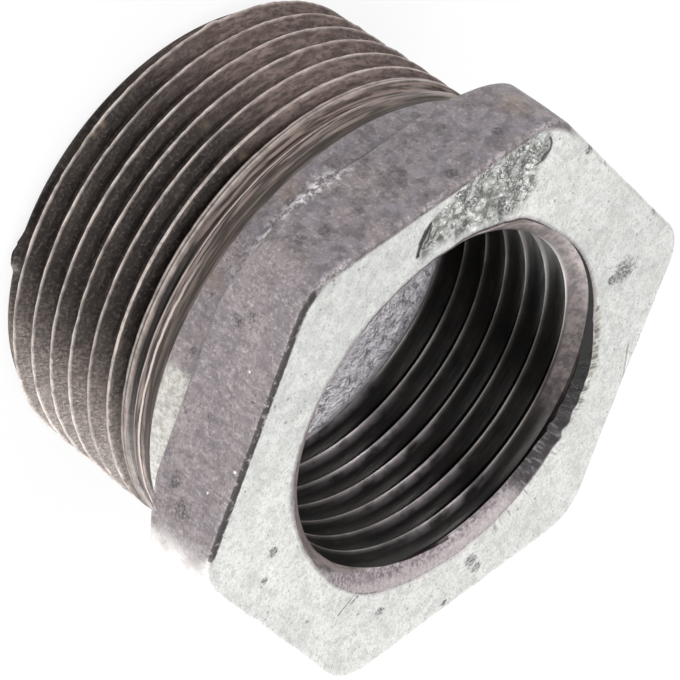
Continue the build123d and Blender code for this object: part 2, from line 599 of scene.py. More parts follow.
# %% Masks of the bore
beside = np.abs(from_crest(azimuth, z, female_start))
female_line = fade(beside, 0.03, 0.15) * (radius < female_crest + 0.14)
bore_top = female_crest + thread_dip(from_crest(azimuth, z, female_start), thread_depth)
bore_top = np.maximum(bore_top, countersink_at_face - below_face)
mouth_margin = mouth_reach(azimuth) - below_face * mouth_slope - bore_top
over_first_crest = z - female_start - climb(azimuth)
bore_masks = {
    # crest lines, which both iron materials paint as highlights
    "crest": np.select([on_male, on_female], [np.clip(male_line, 0, 1), female_line], 0),
    "mouth": np.where(on_female, mouth_margin, -1.0),
    # painted shade: the mouth is painted nearly black where the thread starts
    "mouth_start": on_female * ramp(turn_gap(azimuth, 90), 18, 34),
    # painted shade in the step between the mouth and the first groove
    "margin": on_female * ramp(mouth_margin, -0.14, -0.02) * window(92, 180, 12),
    # dark streaks by the mouth: partly burrs, partly painted shade under them
    "burrs_and_shade": window(84, 150, 10) * on_female,
    "shadowed": window(104, 140, 16) * on_female,
    # the countersink is paler; its darkening between 35 and 150 degrees is painted shade
    "countersink": on_female * fade(below_face, 1.1, 1.35) * (1 - 0.85 * window(35, 150, 30)),
    # painted light: the first groove is painted paler where light falls into it
    "first_groove": on_female * window(112, 228, 24) * ramp(over_first_crest, 0.08, 0.3) * fade(z, 30.4, 30.65),
    # painted shade at the top of the bore, under the face
    "dark_rim": on_female * window(114, 182, 16) * ramp(z, 30.35, 30.6),
    # painted highlight: crests brighter on two sides of the bore
    "crest_highlight_side": on_female * np.maximum(
        window(-60, 30, 40), ramp(-below_face, -4.5, -1.5) * window(135, 220, 30)),
    # painted highlight: a sheen streak on the crests near 65 degrees
    "painted_sheen": window(50, 82, 26) * on_female * (below_face > 1.3) * fade(beside, 0.1, 0.5),
    "recess": (zones == RECESS) * 1.0,
}
masks.update(bore_masks)
show(bore_masks)

# %% Masks of the head's sides
head_edge = head_reach(azimuth)
near_rear_edge = on_head * fade(np.abs(z - rear_of_head(head_edge)), 0.15, 0.6) * ramp(radius, 21.6, 22.3)
near_face_edge = np.where(on_head, fade(below_face, 0.15, 0.55), on_face * fade(head_edge - radius, 0.3, 0.9))
# the neck's crackled bloom is the zinc's own; its paleness between -60 and 0 degrees is painted light
bloom_and_light_sides = np.maximum(ramp(turn, -64, -56) * fade(turn, -20, 35), window(60, 150, 50))
side_masks = {
    # the pale chips along the rear edge are partly wear and partly painted glints, most near -50 degrees
    "rear_edge": near_rear_edge * (0.35 + 0.65 * window(-60, -38, 12)),
    "grime": fade(below_face, 0.12, 0.3) * on_head * window(-91, -34, 3),
    "face_rim": near_face_edge,
    "neck_bloom_and_light": on_head * (radius < 22.6) * (z < head_rear + 0.1) * bloom_and_light_sides,
    # painted glints: pale flecks on the neck, on its side near -100 degrees
    "painted_glints": on_head * window(-113, -84, 8) * ramp(z, 20.8, 21.6) * fade(z, 23.2, 24.2),
    # painted light: the corner that turns towards +X is painted paler
    "painted_light_corner": on_head * ramp(turn, -36.5, -29.5) * fade(turn, 0, 45),
    # painted shade: the flat round -120 degrees is painted darker, and it is bluer too
    "shaded_flat": on_head * window(-160, -92, 5),
}
masks.update(side_masks)
show(side_masks)

# %% Masks of the face
mouth_girth = 17.2  # the mouth's usual radius
face_masks = {
    # hex_face gives the face and its edge the pale, lit copy of the zinc: painted light
    "hex_face": np.maximum(on_face, on_head * fade(below_face, 0.35, 0.6) * (1 - window(-156, -33, 6))),
    "far_rim": near_face_edge * on_face * window(30, 205, 20),
    "dull_face": on_face * np.maximum(0.6 * window(-130, -55, 30), 0.35 * window(120, 190, 40)),
    "mouth_side": on_face * window(62, 150, 14) * fade(from_mouth, 0.4, 2.6),
    "tufts": window(108, 150, 20) * on_face * fade(from_mouth, 0.2, 1.5),
    "stain": window(118, 152, 14) * on_face * fade(from_mouth, 0.3, 1.3),
    "blush": window(22, 84, 20) * on_face * fade(from_mouth, 0.1, 1.0),
    "around": azimuth * mouth_girth,  # millimetres round the mouth
}
masks.update(face_masks)
show(face_masks)

# %% [markdown]
# ## Zinc in the mouth
# On one side of the hole the mouth is still as cast, so it keeps its zinc. A mask could mix coated and bare
# metal in one material, but then each would carry all the noises of the other. So which of them shows is
# settled facet by facet, with a ragged limit.

# %% Coat the cast mouth
cast_mouth = window(-40, 150, 2)
taper = 0.5 * ramp(turn_gap(azimuth, 90), 14, 44) + 0.12 * lumps(x, y, z, 0.5)
coated = mouth_margin - np.maximum(taper, 0)
for i, corners in enumerate(polygons):
    if finish[i] == BORE and np.mean(coated[corners]) > 0 and np.mean(cast_mouth[corners]) > 0.5:
        finish[i] = ZINC
print("facets of zinc, cut iron and bore:", [int((finish == kind).sum()) for kind in (ZINC, CUT, BORE)])

# %% [markdown]
# ## Scar
# One torn scar runs on the face from the mouth towards a corner, where the skin of the casting was ripped and
# zinc filled the tear. Its shape is nothing that noise would give, so its outline is drawn by points. The
# distance inside that outline sinks the face, and noise turns the floor of it into ridges.

# %% Push the scar in
scar_outline = np.array([
    (-7.3, -17.1), (-8.6, -17.9), (-10.1, -18.4), (-12.1, -18.1), (-13.4, -17.9), (-14.8, -17.5), (-16.7, -17.2),
    (-17.8, -16.3), (-19.2, -15.5), (-21.1, -14.2), (-21.6, -12.6), (-21.0, -11.6), (-20.3, -11.0), (-19.1, -10.9),
    (-18.3, -10.5), (-17.7, -9.3), (-17.0, -9.4), (-15.9, -9.2), (-14.8, -9.6), (-13.5, -10.7), (-12.5, -12.0),
    (-11.2, -13.2), (-10.1, -14.4), (-8.9, -15.5), (-7.6, -16.3),
])
scar_floor, scar_ridge, scar_deepest = 0.2, 0.26, 0.6


def inside_outline(px, py, outline):
    """Distance inside a closed outline, and less than 0 outside it."""
    nearest, crossings = np.full(px.shape, 99.0), np.zeros(px.shape, int)
    for a, b in zip(outline, np.roll(outline, -1, axis=0)):
        run = b - a
        t = np.clip(((px - a[0]) * run[0] + (py - a[1]) * run[1]) / (run @ run), 0, 1)
        nearest = np.minimum(nearest, np.hypot(px - a[0] - t * run[0], py - a[1] - t * run[1]))
        level = (a[1] > py) != (b[1] > py)
        crossings += level & (px < a[0] + (py - a[1]) / np.where(level, run[1], 1.0) * run[0])
    return np.where(crossings % 2 == 1, nearest, -nearest)


scar_inside = inside_outline(x, y, scar_outline) + 0.22 * lumps(x, y, 0 * x, 0.9)
masks["scar"] = ramp(scar_inside, -0.15, 0.3) * on_face
ridges = lumps(x, y, z, 1.0) + 0.7 * lumps(x, y, z, 0.55)
scar_depth = masks["scar"] * np.clip(scar_floor + scar_ridge * ridges, 0, scar_deepest)
points[:, 2] -= scar_depth
print("scar is up to", scar_depth.max().round(2), "mm deep over", int((masks["scar"] > 0.5).sum()), "points")

# %% [markdown]
# ## Uneven cast skin
# Zinc runs and sets in soft lumps, so the cast skin swells and dips by a few hundredths of a millimetre, and
# the cored recess is rougher still. The points themselves move, because a bump in the material wouldn't break
# the long straight edges. The last lines keep every point inside the solid's box.

# %% Swell the zinc skin
skin_lumps = [(0.05, 4.0), (0.03, 1.4)]  # height and width
recess_lumps = [(0.09, 1.6), (0.06, 0.7)]
swell = sum(tall * lumps(x, y, z, wide) for tall, wide in skin_lumps)
rough = sum(tall * lumps(x, y, z, wide) for tall, wide in recess_lumps)
on_side = on_head * ramp(z, relief_top + 0.3, relief_top + 0.8)
push = on_side * (swell - 0.05) + (zones == RECESS) * rough * ramp(z, 0.2, 0.8)
points[:, 0] += push * x / radius
points[:, 1] += push * y / radius
points[:, 2] -= on_face * (0.03 + 0.6 * swell) * ramp(from_mouth, 0.0, 0.8)
points[:, 0] = np.clip(points[:, 0], -across_flats / 2, across_flats / 2)
points[:, 1] = np.clip(points[:, 1], -half_across_corners, half_across_corners)
points[:, 2] = np.clip(points[:, 2], 0, length)
print("skin moves by", push.min().round(3), "to", push.max().round(3), "mm")

# %% [markdown]
# ## The mesh
# All points are on the casting now, so the mesh is made in one call, in metres. Every facet is smooth, and
# only edges sharper than 38 degrees stay crisp: the thread's crests are rounded by their own points, while the
# step at the mouth and the rims of the relief are real corners.

# %% Make the mesh
casting_mesh = bpy.data.meshes.new("bushing_casting")
casting_mesh.from_pydata((points * MM).tolist(), [], polygons)
for name, values in masks.items():
    layer = casting_mesh.attributes.new(name, "FLOAT", "POINT")
    layer.data.foreach_set("value", np.asarray(values, np.float32))
casting_mesh.polygons.foreach_set("material_index", finish.astype(np.int32))
casting_mesh.polygons.foreach_set("use_smooth", np.ones(len(polygons), bool))
casting_mesh.update()
casting_mesh.set_sharp_from_angle(angle=radians(38))
casting = bpy.data.objects.new("bushing_casting", casting_mesh)
bpy.context.scene.collection.objects.link(casting)
print("triangles", sum(len(corners) - 2 for corners in polygons), "masks", len(masks))

# %% Hand the casting to the frame, and test that it is closed
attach(casting, "root")
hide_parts("hex_bushing")
test = bmesh.new()
test.from_mesh(casting_mesh)
open_edges = sum(len(e.link_faces) != 2 for e in test.edges)
print("open edges", open_edges, "volume mm3", round(test.calc_volume() / MM**3, 1))
test.free()

# %% [markdown]
# ## Shader maths
# Materials are sums of noise and masks. Wiring those by hand hides what they mean, so this small class wraps
# one socket. A mask is then written as an ordinary expression, and each operation adds its own Math node.

# %% Sockets as numbers
class Value:
    def __init__(self, builder, socket):
        self.builder, self.socket = builder, socket

    def maths(self, operation, *others):
        return self.builder.add("ShaderNodeMath", {"operation": operation}, dict(enumerate([self, *others])))

    def __add__(self, other): return self.maths("ADD", other)
    def __radd__(self, other): return self.maths("ADD", other)
    def __mul__(self, other): return self.maths("MULTIPLY", other)
    def __rmul__(self, other): return self.maths("MULTIPLY", other)
    def __sub__(self, other): return self.maths("SUBTRACT", other)
    def __rsub__(self, other): return self.builder.number(other).maths("SUBTRACT", self)
    def least(self, other): return self.maths("MINIMUM", other)
    def most(self, other): return self.maths("MAXIMUM", other)
    def size(self): return self.maths("ABSOLUTE")

    def rise(self, low, high):
        """0 below low and 1 above high, smooth between."""
        settings = {"interpolation_type": "SMOOTHSTEP"}
        return self.builder.add("ShaderNodeMapRange", settings, {"Value": self, "From Min": low, "From Max": high})


print("a Value has", sum(callable(part) for part in vars(Value).values()), "methods")


# %% Builder of one material
class Builder:
    """Builds one material. add() takes a node's type, its settings and what goes into its sockets."""

    def __init__(self, name):
        self.material = bpy.data.materials.new(name)
        self.material.use_nodes = True
        self.tree = self.material.node_tree
        self.tree.nodes.clear()

    def add(self, kind, settings=None, inputs=None, output=0):
        node = self.tree.nodes.new(kind)
        for key, value in (settings or {}).items():
            setattr(node, key, value)
        for key, value in (inputs or {}).items():
            socket = node.inputs[key]
            if isinstance(value, Value):
                self.tree.links.new(value.socket, socket)
            else:
                socket.default_value = value
        return Value(self, node.outputs[output]) if node.outputs else None

    def number(self, value):
        return self.add("ShaderNodeMath", {"operation": "ADD"}, {0: value, 1: 0.0})

    def mask(self, name):
        return self.add("ShaderNodeAttribute", {"attribute_name": name}, {}, "Fac")

    def vector(self, operation, first, second=None, output=0):
        inputs = {0: first} if second is None else {0: first, 1: second}
        return self.add("ShaderNodeVectorMath", {"operation": operation}, inputs, output)

    def place(self, stretch=(1, 1, 1)):
        """Object position in millimetres, stretched if asked."""
        spot = self.add("ShaderNodeTexCoord", {}, {}, "Object")
        return self.vector("MULTIPLY", spot, [s / MM for s in stretch])

    def noise(self, size, detail, rough, at=None):
        """Noise from 0 to 1 whose lumps are about size millimetres."""
        inputs = {"Vector": at or self.place(), "Scale": 1 / size, "Detail": detail, "Roughness": rough}
        return self.add("ShaderNodeTexNoise", {}, inputs)

    def mix(self, amount, first, second):
        """Colour that goes from first to second."""
        return self.add("ShaderNodeMix", {"data_type": "RGBA"}, {0: amount, 6: first, 7: second}, 2)

    def coats(self, colour, *coats):
        """Lays coats on a colour in turn, each a mask and the colour that it brings."""
        for amount, coat in coats:
            colour = self.mix(amount, colour, coat)
        return colour

    def bump(self, strength, millimetres, height):
        inputs = {"Strength": strength, "Distance": millimetres * MM, "Height": height}
        return self.add("ShaderNodeBump", {}, inputs)

    def surface(self, shader):
        """Ends the material with its output."""
        self.add("ShaderNodeOutputMaterial", {}, {"Surface": shader})
        print(self.material.name, "has", len(self.tree.nodes), "nodes")
        return self.material

    def metal(self, colour, metallic, roughness, normal):
        sockets = {"Base Color": colour, "Metallic": metallic, "Roughness": roughness, "Normal": normal}
        return self.surface(self.add("ShaderNodeBsdfPrincipled", {}, sockets))


# %% Colours as a screen shows them
def tint(red, green, blue):
    """A colour from 0 to 255, turned into the shader's linear numbers by the screen's own curve."""
    linear = (((c / 255 + 0.055) / 1.055) ** 2.4 if c > 10 else c / 255 / 12.92 for c in (red, green, blue))
    return tuple(linear) + (1.0,)


print("grey 128 is", round(tint(128, 128, 128)[0], 3), "to the shader")

# %% [markdown]
# ## Marks that are placed one by one
# Noise gives the general grain, but knocks, stains and scratches sit where use and the foundry put them, and
# the pale marks are painted glints. Each is a point with a size, or a line with a width. Noise wobbles the
# distance to it, so its edge is ragged. A painted image would do the same, but then the finish would no longer
# follow from numbers alone.

# %% Spots and lines
ragged_share, edge_share = 2.4, 1.2  # of a mark's size


def placed_marks(b, marks, wobble, core=0.55):
    """One mask for a list of marks with ragged edges. A small core makes them fade softly."""
    here = b.place()
    total = None
    for centre, size in marks:
        gap = b.vector("DISTANCE", here, centre, "Value")
        mark = 1 - (gap + wobble * (size * ragged_share)).rise(size * core, size * edge_share)
        total = mark if total is None else total.most(mark)
    return total


def line_mark(b, here, start, end, width, wobble):
    """A mask for a thin straight mark between two points."""
    run = Vector(end) - Vector(start)
    apart = b.vector("SUBTRACT", here, start)
    along = b.vector("DOT_PRODUCT", apart, run / run.length_squared, "Value").most(0.0).least(1.0)
    nearest = b.add("ShaderNodeVectorMath", {"operation": "SCALE"}, {0: tuple(run), "Scale": along})
    gap = b.vector("DISTANCE", apart, nearest, "Value")
    return 1 - (gap + wobble).rise(width * 0.5, width * 1.1)


def flat_place(azimuth, along, below):
    """A point on a flat: along it from its middle, and below the face."""
    half = across_flats / 2
    a = radians(azimuth)
    return (half * cos(a) - along * sin(a), half * sin(a) + along * cos(a), length - below)


print("2 mm under the face on the flat at -60:", [round(v, 2) for v in flat_place(-60, 0, 2)])

# %% Dark marks
dark_marks = [
    (flat_place(-60, -7.5, 5.2), 0.55), (flat_place(-60, -8.3, 4.1), 0.5), (flat_place(-60, 0.8, 4.7), 0.28),
    (flat_place(-60, 9.1, 4.2), 1.0), (flat_place(-60, 7.2, 5.7), 0.7), (flat_place(-120, 8.1, 3.9), 0.6),
    (flat_place(-120, 10.2, 4.4), 0.6), (flat_place(-120, -0.2, 4.2), 0.45), (flat_place(-120, -3.0, 1.3), 0.7),
    ((-17.5, 9.1, length), 1.3), ((-16.5, 8.7, length), 0.7), ((-22.6, -6.5, length), 0.5),
    ((-22.8, 7.2, length), 0.4), ((17.6, -7.5, length), 0.5), ((19.7, -5.9, length), 0.35),
    ((8.4, 17.9, length), 0.7), ((8.5, 19.3, length), 0.55), ((12.4, 18.6, length), 0.35),
    ((16.2, 11.2, length), 0.5), ((-13.8, -12.7, length), 0.6), ((9.0, -19.3, 21.3), 0.35),
    ((-22.9, -3.3, length), 0.3), (flat_place(-60, -7.6, 5.5), 0.35), (flat_place(-60, -8.6, 4.3), 0.3),
    (flat_place(-120, 4.8, 3.5), 0.35), (flat_place(-120, -8.5, 2.2), 0.45), (flat_place(-120, -6.0, 5.5), 0.35),
]
scar_dirt_marks = [((-13.8, -12.8, length), 1.0), ((-14.6, -13.9, length), 0.7)]
scratches = [  # ends on the face, width and strength
    ((-7.4, -17.1), (-8.3, -17.8), 0.34, 1.0), ((-8.3, -17.8), (-9.2, -18.2), 0.42, 1.0),
    ((-9.2, -18.2), (-9.8, -18.3), 0.36, 1.0), ((-8.0, -16.6), (-8.8, -17.3), 0.2, 0.85),
    ((-8.8, -17.3), (-9.7, -17.9), 0.2, 0.85), ((-8.6, -16.2), (-10.1, -17.0), 0.14, 0.6),
    ((-9.6, -15.7), (-10.9, -16.6), 0.14, 0.6), ((-15.6, -12.2), (-17.6, -11.0), 0.14, 0.5),
    ((-13.0, -16.4), (-13.9, -17.4), 0.2, 0.6), ((15.6, 6.5), (18.4, 6.4), 0.16, 0.8),
    ((15.5, 7.0), (17.0, 6.9), 0.16, 0.8), ((-16.1, 2.7), (-16.7, 4.9), 0.12, 0.7),
    ((-13.4, 8.4), (-13.8, 10.8), 0.1, 0.5), ((-13.5, 17.0), (-11.2, 19.5), 0.2, 0.35),
    ((-10.8, -15.4), (-12.3, -17.0), 0.2, 0.5),
]
print(len(dark_marks), "dark marks", len(scratches), "scratches")

# %% Painted glints and ochre marks
glint_marks = [
    (flat_place(-60, -12.6, 6.8), 0.22), (flat_place(-60, 3.4, 0.6), 0.16), (flat_place(-60, 6.3, 2.3), 0.14),
    (flat_place(-60, -4.4, 2.6), 0.12), ((-12.0, -13.0, length), 0.35), ((-18.5, -12.3, length), 0.4),
    ((-9.2, -16.9, length), 0.3), ((-5.2, -20.9, 22.6), 0.5), ((-3.4, -21.3, 21.6), 0.35),
    ((-2.2, -21.4, 22.7), 0.4),
]
ochre_marks = [((3.7, -21.0, 19.9), 1.2), (flat_place(-120, -11.5, 3.5), 2.2), ((-5.5, -20.6, 20.3), 1.2)]
print(len(glint_marks), "pale marks", len(ochre_marks), "ochre marks")

# %% [markdown]
# ## Hot-dip zinc
# The dip leaves a bloom with dark pits on the face. The face and the sides carry the same coat: the face is
# painted pale as its lit copy, and the flats and the neck are painted grey as its shaded copy. Grime sits on the
# edges, with chips of bare zinc and painted glints. One flat grey metal would look like plastic, so the coat is
# built as the real one is: a ground colour, then grain, pits, stains and wear, each let through by noise and by
# the masks on the skin, with painted light and shade on top.

# %% Grains of the zinc
b = Builder("hot_dip_zinc")
here = b.place()
broad = b.noise(4.5, 4, 0.6)
clouds = b.noise(1.4, 4, 0.65)
speckle = b.noise(0.55, 3, 0.6)
grain = b.noise(0.26, 4, 0.75)
brushed = b.noise(0.4, 3, 0.6, b.place((1, 1, 0.15)))
coarse = b.noise(0.7, 4, 0.7, b.place((1, 1, 0.7)))
mottle = b.noise(0.95, 2, 0.5)
pits = b.add("ShaderNodeTexVoronoi", {}, {"Vector": here, "Scale": 1 / 0.75}, "Distance")
dark_pits = 1 - (pits - 0.3 * clouds.rise(0.4, 0.8)).rise(-0.06, 0.06)
print("grains from 0.26 to 4.5 mm,", len(b.tree.nodes), "nodes so far")

# %% Hairs and streaks that point away from the mouth
from_middle = b.vector("LENGTH", here, output="Value")
streak_squash, hair_squash = 0.3, 0.16


def rim_place(squash):
    """A place round the mouth, squashed outwards, so that its noise is drawn out into hairs."""
    return b.add("ShaderNodeCombineXYZ", {}, {0: b.mask("around"), 1: squash * from_middle})


streaks = b.noise(0.35, 3, 0.6, rim_place(streak_squash))
hair = b.noise(0.5, 4, 0.75, rim_place(hair_squash))
tuft = hair.rise(0.4, 0.56) * clouds.rise(0.4, 0.52).most(0.7 * speckle.rise(0.48, 0.58))
print("hairs", round(1 / hair_squash, 1), "times as long as wide")

# %% The face's coat
# The face's pale ground stands for the lit face: painted light.
face_colour = b.coats(
    b.mix(broad.rise(0.35, 0.7), tint(228, 228, 225), tint(213, 214, 210)),
    (b.mask("dull_face"), b.mix(clouds.rise(0.4, 0.6), tint(212, 213, 210), tint(186, 187, 185))),
    (speckle.rise(0.48, 0.68) * 0.5, tint(186, 187, 184)),
    (grain.rise(0.52, 0.68) * 0.7, tint(144, 144, 141)),
    (dark_pits * 0.6, tint(112, 112, 110)),
    # burrs beside the mouth, a mottle, an ochre stain, dark tufts, a pink blush, and dirt on the far rim
    ((b.mask("mouth_side") + 0.3 * speckle - 0.35).rise(0, 0.8) * hair.rise(0.56, 0.64) * 0.6, tint(96, 95, 91)),
    (mottle.rise(0.5, 0.62) * 0.3, tint(176, 177, 174)),
    (b.mask("stain") * clouds.rise(0.38, 0.56) * 0.5, tint(170, 160, 134)),
    ((b.mask("tufts") + 1.2 * speckle - 0.8).rise(0.1, 0.5) * tuft * 0.75, tint(78, 76, 68)),
    ((b.mask("blush") + 0.9 * speckle - 0.6).rise(0.2, 0.7) * 0.5, tint(190, 174, 175)),
    (b.mask("far_rim") * clouds.rise(0.5, 0.6) * 0.6, tint(104, 100, 96)),
)
print("face's coat ends at", len(b.tree.nodes), "nodes")

# %% The coat of the flats and the neck
shaded_flat = b.mask("shaded_flat")
crackle = b.coats(
    b.mix(speckle.rise(0.42, 0.62), tint(212, 211, 204), tint(178, 175, 168)),
    (grain.rise(0.5, 0.62) * 0.45, tint(124, 118, 114)),
)
# The sides' grey ground stands for the flats and the neck in shade: painted shade.
side_colour = b.coats(
    b.mix(broad.rise(0.35, 0.65), tint(143, 133, 135), tint(127, 120, 124)),
    (clouds.rise(0.42, 0.66) * 0.35, tint(164, 153, 153)),
    (brushed.rise(0.5, 0.72) * 0.45, tint(96, 88, 91)),
    (speckle.rise(0.52, 0.7) * 0.4, tint(96, 89, 92)),
    ((1 - speckle.rise(0.3, 0.42)) * 0.45, tint(192, 184, 184)),
    (grain.rise(0.5, 0.68) * (0.2 + 0.5 * clouds.rise(0.4, 0.6)), tint(78, 71, 74)),
    ((1 - grain.rise(0.34, 0.44)) * 0.5, tint(204, 196, 195)),
    (dark_pits * 0.5, tint(74, 68, 70)),
    (coarse.rise(0.46, 0.7) * 0.4, tint(84, 76, 78)),
    ((1 - coarse.rise(0.3, 0.48)) * 0.3, tint(186, 176, 175)),
    # a bluer flat darkened by painted shade, a corner paled by painted light, and the crackled bloom on the neck,
    # paler on its lit side with painted light
    # painted shade darkens the flat round -120 degrees, which is also bluer
    (shaded_flat * broad.rise(0.45, 0.6) * 0.35, tint(150, 146, 158)),
    (shaded_flat * (0.2 + 0.4 * clouds.rise(0.45, 0.6)), tint(66, 61, 63)),
    # painted light on the corner that turns towards +X
    (b.mask("painted_light_corner") * 0.6, b.mix(clouds.rise(0.4, 0.65), tint(246, 244, 240), tint(206, 202, 198))),
    # crackled bloom: partly the zinc's own, partly painted light on the lit side
    ((b.mask("neck_bloom_and_light") + 0.6 * clouds - 0.3).rise(0.2, 0.8) * 0.85, crackle),
)
print("coat of the sides ends at", len(b.tree.nodes), "nodes")

# %% Wear, dirt and painted glints on the edges
face = b.mask("hex_face")
grime_mask = b.mask("grime")
grime = (grime_mask + 0.9 * speckle - 0.5).rise(0.2, 0.5) * grime_mask.rise(0.02, 0.1)
grime = grime * b.noise(0.7, 3, 0.7).rise(0.36, 0.46)
# pale chips on the rear edge: partly wear, partly painted glints
chips_and_glints = b.mask("rear_edge") * b.noise(1.3, 5, 0.75).rise(0.5, 0.66)
# painted glints on the neck
painted_glints = b.mask("painted_glints") * (1 - speckle.rise(0.4, 0.52)).most((1 - grain.rise(0.36, 0.5)) * 0.7)
# pale and dark flecks on the rim of the face: the dark ones are wear, the pale ones partly a painted highlight of
# the rounded edge
rim_flecks_and_highlight = b.mask("face_rim") * (1 - face) * (1 - grime_mask)
# The face takes the lit copy of the coat and the sides the shaded copy: painted light and shade.
colour = b.coats(
    b.mix(face, side_colour, face_colour),
    (placed_marks(b, dark_marks, speckle - 0.5) * (0.3 + 0.55 * grain.rise(0.42, 0.56)), tint(70, 66, 68)),
    # painted glints: small pale marks where edges and flats catch light
    (placed_marks(b, glint_marks, speckle - 0.5) * 0.75, tint(250, 248, 246)),
    (placed_marks(b, ochre_marks, clouds - 0.5, 0.0) * 0.3, tint(140, 120, 96)),
    (grime * 0.9, tint(44, 40, 39)),
    (chips_and_glints * 0.75, tint(226, 218, 216)),
    (painted_glints * 0.95, tint(252, 246, 248)),
    (rim_flecks_and_highlight * broad.rise(0.42, 0.6) * 0.4, b.mix(grain.rise(0.42, 0.6), tint(222, 212, 210), tint(110, 99, 100))),
)
print("edges end at", len(b.tree.nodes), "nodes")

# %% [markdown]
# ## Zinc inside the hole
# The mouth and the cored recess keep their zinc. The mouth is greyer and streaked by the burrs that the tap
# pushed up, with painted shade in the dark streaks and in a dark band, and it is painted nearly black where the
# thread starts. The recess is crinkled, and its near-white colour is painted light, because little real light
# reaches it while it stands on the floor. Both belong to the same dip, so they are coats of the same material.

# %% Mouth and recess
recess_mask = b.mask("recess")
burrs_and_shade = b.mask("burrs_and_shade")
crinkle = b.noise(0.9, 3, 0.65)
mouth_colour = b.coats(
    b.mix(speckle.rise(0.35, 0.65), tint(182, 172, 175), tint(142, 132, 136)),
    (grain.rise(0.5, 0.62) * 0.7, tint(84, 76, 79)),
    ((1 - grain.rise(0.34, 0.46)) * 0.6, tint(216, 208, 208)),
    # burr streaks, whose dark part is painted shade
    (burrs_and_shade * 0.9, b.mix(streaks.rise(0.5, 0.64), tint(36, 34, 35), tint(112, 108, 110))),
    (b.mask("shadowed") * 0.6, tint(34, 31, 31)),
    (b.mask("mouth").rise(0.45, 0.85) * (1 - burrs_and_shade) * 0.45, tint(214, 204, 204)),
    # painted shade, nearly black, where the thread starts
    (b.mask("mouth_start") * 0.97, tint(12, 11, 10)),
)
# The recess's near-white ground is painted light; its crinkles are darker.
recess_colour = b.coats(
    b.mix(speckle.rise(0.42, 0.62), tint(255, 253, 255), tint(226, 219, 229)),
    (crinkle.rise(0.54, 0.66) * 0.6, tint(110, 102, 112)),
)
colour = b.coats(colour, (b.mask("mouth").rise(-0.05, 0.1), mouth_colour), (recess_mask, recess_colour))
print("inside of the hole ends at", len(b.tree.nodes), "nodes")

# %% [markdown]
# ## The scar's colour and the scratches
# Torn zinc folds over itself: pale plates with thin dark cracks between them. A noise crosses its middle
# value along thin winding lines, so the distance to that value gives cracks without placing any of them. The
# slit at the scar's end by the mouth, the arc at its outer end and the scratches are placed lines.

# %% Torn zinc
scar_mask = b.mask("scar")
torn = b.noise(0.8, 4, 0.7)
fine_torn = b.noise(0.42, 3, 0.7)
winding = b.noise(0.5, 3, 0.65, b.place((1, 0.6, 1)))
broad_torn = b.noise(1.5, 2, 0.5)
cracks = 1 - (winding - 0.5).size().rise(0.015, 0.06)
folds = 1 - (broad_torn - 0.52).size().rise(0.008, 0.03)
scar_colour = b.coats(
    b.mix(torn.rise(0.42, 0.58), tint(200, 201, 197), tint(132, 133, 129)),
    (cracks * (0.35 + 0.6 * broad_torn.rise(0.42, 0.58)), tint(48, 48, 46)),
    (folds * 0.7, tint(52, 52, 50)),
    (fine_torn.rise(0.54, 0.64) * 0.6, tint(84, 84, 82)),
    ((1 - fine_torn.rise(0.34, 0.42)) * 0.8, tint(240, 240, 237)),
    (placed_marks(b, scar_dirt_marks, speckle - 0.5, 0.2) * 0.6, tint(78, 79, 70)),
)
colour = b.mix(scar_mask * 0.92, colour, scar_colour)
print("scar ends at", len(b.tree.nodes), "nodes")

# %% Scratches, slit and arc
scratch_depth = 0.15
arc_centre, arc_radius = (-19.75, -12.3, length), 1.35
arc_direction, arc_level = (-0.34, 0.94, 0), 4.85  # the arc shows only on the side that this points to
ragged = (grain - 0.5) * 0.14
dark_lines = None
for start, end, width, strength in scratches:
    start, end = (*start, length - scratch_depth), (*end, length - scratch_depth)
    mark = strength * line_mark(b, here, start, end, width, ragged)
    dark_lines = mark if dark_lines is None else dark_lines.most(mark)
from_arc = b.vector("DISTANCE", here, arc_centre, "Value")
arc_side = b.vector("DOT_PRODUCT", here, arc_direction, "Value") + arc_level
arc = (1 - ((from_arc - arc_radius).size() + ragged * 0.6).rise(0.05, 0.17)) * arc_side.rise(0.2, 0.7)
dark_lines = dark_lines.most(0.85 * arc) * face
colour = b.mix(dark_lines * 0.95, colour, tint(30, 29, 30))
print("scratches end at", len(b.tree.nodes), "nodes")

# %% [markdown]
# ## The zinc's fine relief
# The swell and the scar are in the mesh, and what is finer than its facets is bump: the grain stands up, pits
# and scratches sink in. The coat has dulled, so it is only a little metallic, and rougher where it is grainy.

# %% Relief and gloss of the zinc
height = clouds + 0.5 * grain + 0.6 * speckle - dark_pits * 0.5 - 2.0 * dark_lines
height = height + 2.0 * scar_mask * torn + recess_mask * (6.0 * crinkle + 3.0 * speckle)
zinc = b.metal(
    colour,
    metallic=0.25 - 0.2 * recess_mask,
    roughness=0.4 + 0.25 * grain - 0.2 * recess_mask,
    normal=b.bump(0.8, 0.16, height),
)

# %% [markdown]
# ## Cut iron outside
# A die leaves dark torn flanks, and the thin bright crest lines are painted highlights where the narrow crests
# catch light. The paler side near -15 degrees is painted light, and the dark last groove is painted shade.
# Chatter runs across the flanks, and fine turned lines run round the relief. Brushed metal is often drawn with an
# anisotropic gloss, but that is lost when the part is exported. Noise squashed along or round the axis gives the
# same look in colour and bump alone.

# %% Rust marks on the thread
def spigot_place(azimuth, height):
    a = radians(azimuth)
    return (20.3 * cos(a), 20.3 * sin(a), height)


